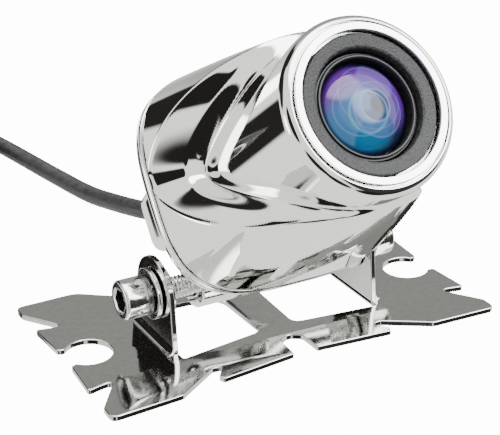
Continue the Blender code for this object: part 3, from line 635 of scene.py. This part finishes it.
def build_bracket():
    right = half_outline()
    left = [(-x, y, r) for x, y, r in reversed(right)]
    notch = [(-2.1, -12.6, 1.0), (0.0, -11.3, 1.6), (2.1, -12.6, 1.0)]
    outline = soften(right + left + notch, 0.5, 6)
    bm = bmesh.new()
    loft(bm, [[Vector((x, y, z)) for x, y in outline] for z in (0.0, PLATE_T)])
    plate = finish_mesh("stamped_plate", bm, M["steel"], None, (), sharp=40)
    for side in (-1, 1):
        window = [
            (side * BRIDGE_HALF, -7.9, 2.0), (side * EAR_INSIDE, -9.9, 0.6), (side * EAR_INSIDE, 8.6, 0.6),
            (side * 3.6, 7.4, 4.0),
        ]
        bm = bmesh.new()
        loft(bm, [[Vector((x, y, z)) for x, y in soften(window, 1.0, 8)] for z in (-1.0, 2.0)])
        cutter = finish_mesh("window_cut", bm, M["steel"], None)
        cut = plate.modifiers.new("window", "BOOLEAN")
        cut.operation = "DIFFERENCE"
        cut.solver = "EXACT"
        cut.object = cutter
        bpy.context.view_layer.update()
        evaluated = plate.evaluated_get(bpy.context.evaluated_depsgraph_get())
        mesh = bpy.data.meshes.new_from_object(evaluated)
        plate.modifiers.clear()
        plate.data = mesh
        bpy.data.objects.remove(cutter, do_unlink=True)
    bevel = plate.modifiers.new("edge", "BEVEL")
    bevel.width = 0.14 * MM
    bevel.segments = 2
    bevel.limit_method = "ANGLE"
    bevel.angle_limit = math.radians(50)
    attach(plate, "base")
    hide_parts("bracket")
    for side, label in ((-1, "left"), (1, "right")):
        points = [(-8.2, 0.2, 0)]
        for k in range(33):
            angle = math.radians(170 - k * 5)
            points.append((PIVOT_Y + EAR_R * math.cos(angle), PIVOT_Z + EAR_R * math.sin(angle), 0))
        points.append((7.4, 0.2, 0))
        bm = bmesh.new()
        faces = (side * EAR_INSIDE, side * (EAR_INSIDE + EAR_T))
        loft(bm, [[Vector((x, y, z)) for y, z in soften(points, 0, 1)] for x in faces])
        finish_mesh("ear_" + label, bm, M["steel"], "base", (), bevel=0.15)
        bm = bmesh.new()
        fillet = [(20.2, 0.8), (20.2, 2.0)]
        for k in range(7):
            angle = math.radians(180 + 15 * k)
            fillet.append((21.4 + 1.0 * math.cos(angle), 2.0 + 1.0 * math.sin(angle)))
        fillet.append((21.4, 0.8))
        loft(bm, [[Vector((side * x, y, z)) for x, z in fillet] for y in (-8.0, 7.2)])
        finish_mesh("bend_" + label, bm, M["steel"], "base", ())


# ------------------------------------------------------------------ cable and plug

CABLE_R = 1.8
# In metres
EXIT_Z = 2.2
EXIT_DEPTH = 66.6
COIL_CENTRE = (-38.2, 97.8)
COIL_INNER = 16.2
COIL_OUTER = 23.8
COIL_START_DEG = 11.3
COIL_TURNS = 2
UPPER_SWEEP_DEG = 700
LAYER_RISE = 3.75
LIE = 1.9
PLUG_R = 4.6
PLUG_FLANGE_R = 5.2
PLUG_BACK = 9.5
PLUG_DEG = 225


def coil_point(radius, deg, z):
    a = math.radians(deg)
    return Vector((COIL_CENTRE[0] + radius * math.cos(a), COIL_CENTRE[1] + radius * math.sin(a), z))


def smooth_route(points, spacing):
    padded = [2 * points[0] - points[1]] + points + [2 * points[-1] - points[-2]]
    fine = []
    for p0, p1, p2, p3 in zip(padded, padded[1:], padded[2:], padded[3:]):
        for k in range(24):
            t = k / 24
            fine.append(0.5 * (2 * p1 + (p2 - p0) * t + (2 * p0 - 5 * p1 + 4 * p2 - p3) * t ** 2
                               + (3 * p1 - p0 - 3 * p2 + p3) * t ** 3))
    fine.append(points[-1])
    total = sum((b - a).length for a, b in zip(fine, fine[1:]))
    count = max(2, round(total / spacing))
    result = [fine[0]]
    walked = 0.0
    target = total / count
    for a, b in zip(fine, fine[1:]):
        length = (b - a).length
        while walked + length >= target - 1e-9 and len(result) < count:
            result.append(a.lerp(b, (target - walked) / length))
            target += total / count
        walked += length
    result.append(fine[-1])
    return result


def build_cable():
    start = head_point(0, EXIT_Z, EXIT_DEPTH)
    along = head_point(0, EXIT_Z, EXIT_DEPTH + 5)
    route = [start, along, Vector((-2.2, 30.5, 7.5)), Vector((-4.5, 38.5, 6.0)), Vector((-5.5, 48.0, 3.9)),
             Vector((-6.9, 58.0, 2.3)), Vector((-9.0, 71.0, LIE))]
    entry = coil_point(COIL_OUTER, COIL_START_DEG, LIE)
    heading = math.radians(COIL_START_DEG)
    tangent = Vector((-math.sin(heading), math.cos(heading), 0))
    route.append(entry - tangent * 14.6)
    route.append(entry - tangent * 6)
    width = COIL_OUTER - COIL_INNER
    total = COIL_TURNS * 20
    for k in range(total + 1):
        u = k / total
        route.append(coil_point(COIL_OUTER - width * u, COIL_START_DEG + 360 * COIL_TURNS * u, LIE))
    climb = 14
    for k in range(1, climb + 1):
        u = k / climb
        route.append(coil_point(COIL_INNER, COIL_START_DEG + 180 * u, LIE + LAYER_RISE * step(0, 1, u)))
    upper_start = COIL_START_DEG + 180
    total = 56
    for k in range(1, total + 1):
        u = k / total
        route.append(coil_point(COIL_INNER + width * u, upper_start + UPPER_SWEEP_DEG * u, LIE + LAYER_RISE))
    centre = coil_point(COIL_OUTER + 2 + 0.3 + PLUG_FLANGE_R, PLUG_DEG, PLUG_FLANGE_R + 0.1)
    facing = math.radians(PLUG_DEG)
    direction = Vector((-math.sin(facing), math.cos(facing), 0))
    rear = centre - direction * (PLUG_BACK + 0.3)
    route.append(coil_point(28.6, 184, LIE + LAYER_RISE))
    route.append(rear - direction * 5 + Vector((0, 0, 0.05)))
    route.append(rear)
    points = smooth_route(route, 3.0)
    curve = bpy.data.curves.new("cable_lead", "CURVE")
    curve.dimensions = "3D"
    curve.bevel_depth = CABLE_R * MM
    curve.bevel_resolution = 6
    curve.use_fill_caps = True
    spline = curve.splines.new("POLY")
    spline.points.add(len(points) - 1)
    for item, point in zip(spline.points, points):
        item.co = (*(point * MM), 1.0)
    for item in curve.splines:
        item.use_smooth = True
    curve.materials.append(M["cable"])
    lead = bpy.data.objects.new("cable_lead", curve)
    bpy.context.scene.collection.objects.link(lead)
    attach(lead, "base")
    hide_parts("cable", "cable_coil", "cable_tail")
    plug = build_plug(centre, direction)


def build_boot():
    """Ribbed boot round the cable where it leaves the tail."""
    def at(u, v, h):
        return head_point(u, v + EXIT_Z, h)

    bm = bmesh.new()
    gland = [
        (2.1, 59.3), (3.2, 59.3), (3.2, 60.5), (2.7, 60.9), (2.7, 61.6), (2.4, 61.8), (2.4, 62.5),
        (2.6, 62.7), (2.6, 63.6), (2.3, 63.8), (2.3, 64.5), (2.45, 64.7), (2.45, 65.4), (2.2, 66.3),
        (2.1, 66.3),
    ]
    lathe(bm, soften(gland, 0.12, 3), at, 64)
    finish_mesh("cable_boot", bm, M["rubber"], "head", ["cable_gland"])


def build_plug(centre, direction):
    side = Vector((direction.y, -direction.x, 0))
    origin = centre - direction * PLUG_BACK

    def at(u, v, h):
        return origin + direction * h + side * u + Vector((0, 0, v))

    r = PLUG_R
    body = [
        (1.9, 0, 0), (2.5, 0), (2.7, 1.4), (2.4, 1.6), (2.45, 2.2), (2.9, 2.4), (3.1, 3.8), (2.8, 4.0),
        (2.85, 4.5), (3.4, 5.0), (r, 6.2), (r, 11.0), (PLUG_FLANGE_R, 11.3), (PLUG_FLANGE_R, 12.7),
        (3.7, 13.0), (3.7, 14.0), (3.3, 14.0), (3.3, 15.4), (3.7, 15.4), (3.7, 19.0), (2.9, 19.0),
        (2.9, 13.4), (0.0, 13.4, 0), (0.0, 1.0, 0), (1.9, 1.0, 0),
    ]
    bm = bmesh.new()
    lathe(bm, soften(body, 0.18, 3), at, 72)
    for k in range(12):
        angle = 2 * math.pi * k / 12
        u, v = r * math.cos(angle), r * math.sin(angle)
        bit = []
        for h in (6.6, 10.6):
            bit.append([at(u * s + dx * -math.sin(angle), v * s + dx * math.cos(angle), h)
                        for s, dx in ((0.97, -0.4), (1.06, -0.25), (1.06, 0.25), (0.97, 0.4))])
        loft(bm, bit)
    return finish_mesh("plug_shell", bm, M["rubber"], "base", ["plug_body"])


# ------------------------------------------------------------------ carried-over pieces

def paint_nodes():
    choice = {
        "front_seal": "rubber", "spacer_ring": "black", "second_element": "inner_glass",
        "aperture_disc": "black", "rear_element": "inner_glass", "lens_holder": "black",
        "ir_cut_filter": "filter", "image_sensor": "sensor", "sensor_board": "board",
        "video_board": "board", "cable_socket": "nylon", "plug_seal": "nylon",
    }
    for name, obj in NODES.items():
        key = choice.get(name)
        if name.startswith(("board_post", "plug_pin")):
            key = "brass"
        elif name.startswith(("board_screw", "cover_screw")):
            key = "fastener"
        elif name.startswith("cable"):
            key = "cable"
        key = key or "black"
        obj.data.materials.clear()
        obj.data.materials.append(M[key])


# ------------------------------------------------------------------ stage

# Lengths here are in metres, apart from the lens
VIEW_AZ_DEG = -29.315
VIEW_EL_DEG = 24.757
CAMERA_AT = Vector((-0.11407, -0.20117, 0.12527))
CAMERA_LENS = 105.7
FLOOR_HALF = 4.0
FLOOR_DROP = 0.00005
FLOOR_GLOW = 14.0
BASE_LIGHT = (1.5, 1.5, 1.46)

# Compass bearing from +Y towards +X, elevation, radius, softness, all in degrees, and the light it gives
CARDS = (
    (29, 25, 34, 12, (0.42, 0.42, 0.4)),
    (-18, 16, 19, 2, (0.025, 0.023, 0.021)),
    (-42, 12, 15, 2, (0.025, 0.023, 0.021)),
    (-23, 38, 9, 2, (0.025, 0.023, 0.021)),
    (150, -10, 38, 3, (0.05, 0.05, 0.047)),
    (0, 88, 26, 6, (8.0, 8.0, 8.0)),
    (-95, 12, 18, 2, (0.02, 0.019, 0.017)),
    (-125, -20, 17, 3, (0.02, 0.019, 0.017)),
    (-145, -38, 15, 3, (0.02, 0.019, 0.017)),
    (170, -50, 16, 3, (0.02, 0.019, 0.017)),
    (146, -40, 13, 3, (0.03, 0.028, 0.025)),
    (-60, -10, 8, 2, (7.0, 7.0, 7.0)),
    (-24, -19, 11, 1.5, (0.025, 0.023, 0.021)),
    (-5, -8, 5, 1.5, (7.0, 7.0, 7.0)),
    (44, -28, 10, 2, (0.04, 0.037, 0.033)),
    (144, 42, 26, 5, (9.0, 9.0, 9.0)),
)


def build_stage():
    scene = bpy.context.scene
    az = math.radians(VIEW_AZ_DEG)
    el = math.radians(VIEW_EL_DEG)
    back = Vector((math.sin(az) * math.cos(el), -math.cos(az) * math.cos(el), math.sin(el)))
    right = Vector((math.cos(az), math.sin(az), 0))
    up = back.cross(right)
    cam = bpy.data.cameras.new("camera")
    cam.lens = CAMERA_LENS
    cam.sensor_width = 36.0
    cam.clip_start = 0.01
    obj = bpy.data.objects.new("camera", cam)
    scene.collection.objects.link(obj)
    turn = Matrix((right, up, back)).transposed().to_4x4()
    obj.matrix_world = Matrix.Translation(CAMERA_AT) @ turn
    scene.camera = obj

    mesh = bpy.data.meshes.new("floor")
    corners = [(-1, -1), (1, -1), (1, 1), (-1, 1)]
    mesh.from_pydata([(x * FLOOR_HALF, y * FLOOR_HALF, 0) for x, y in corners], [], [(0, 1, 2, 3)])
    floor = bpy.data.objects.new("floor", mesh)
    floor.location.z = -FLOOR_DROP
    scene.collection.objects.link(floor)
    mat = bpy.data.materials.new("pale_floor")
    mat.use_nodes = True
    n = Nodes(mat.node_tree)
    out = n.add("ShaderNodeOutputMaterial")
    seen = n.add("ShaderNodeEmission")
    seen.inputs[0].default_value = (1, 1, 1, 1)
    seen.inputs[1].default_value = FLOOR_GLOW
    clear = n.add("ShaderNodeBsdfTransparent")
    pick = n.add("ShaderNodeMixShader")
    n.link(n.add("ShaderNodeLightPath").outputs["Is Camera Ray"], pick.inputs[0])
    n.link(clear.outputs[0], pick.inputs[1])
    n.link(seen.outputs[0], pick.inputs[2])
    n.link(pick.outputs[0], out.inputs[0])
    mesh.materials.append(mat)

    world = bpy.data.worlds.new("studio")
    scene.world = world
    world.use_nodes = True
    n = Nodes(world.node_tree)
    out = n.add("ShaderNodeOutputWorld")
    shade = n.add("ShaderNodeBackground")
    n.link(shade.outputs[0], out.inputs[0])
    way = n.add("ShaderNodeTexCoord").outputs["Generated"]
    colour = n.constant(BASE_LIGHT)
    for az_deg, el_deg, size_deg, soft_deg, tint in CARDS:
        a = math.radians(az_deg)
        e = math.radians(el_deg)
        node = n.add("ShaderNodeVectorMath", operation="DOT_PRODUCT")
        n.link(way, node.inputs[0])
        node.inputs[1].default_value = (math.cos(e) * math.sin(a), math.cos(e) * math.cos(a), math.sin(e))
        near = math.cos(math.radians(max(0.5, size_deg - soft_deg)))
        far = math.cos(math.radians(size_deg + soft_deg))
        mask = n.range(node.outputs["Value"], far, near, 0.0, 1.0, True)
        colour = n.mix(mask, colour, tint)
    n.link(colour, shade.inputs[0])


build_stage()
paint_nodes()
build_cable()
build_boot()
build_housing()
build_front()
build_rear()
build_screws()
build_bracket()
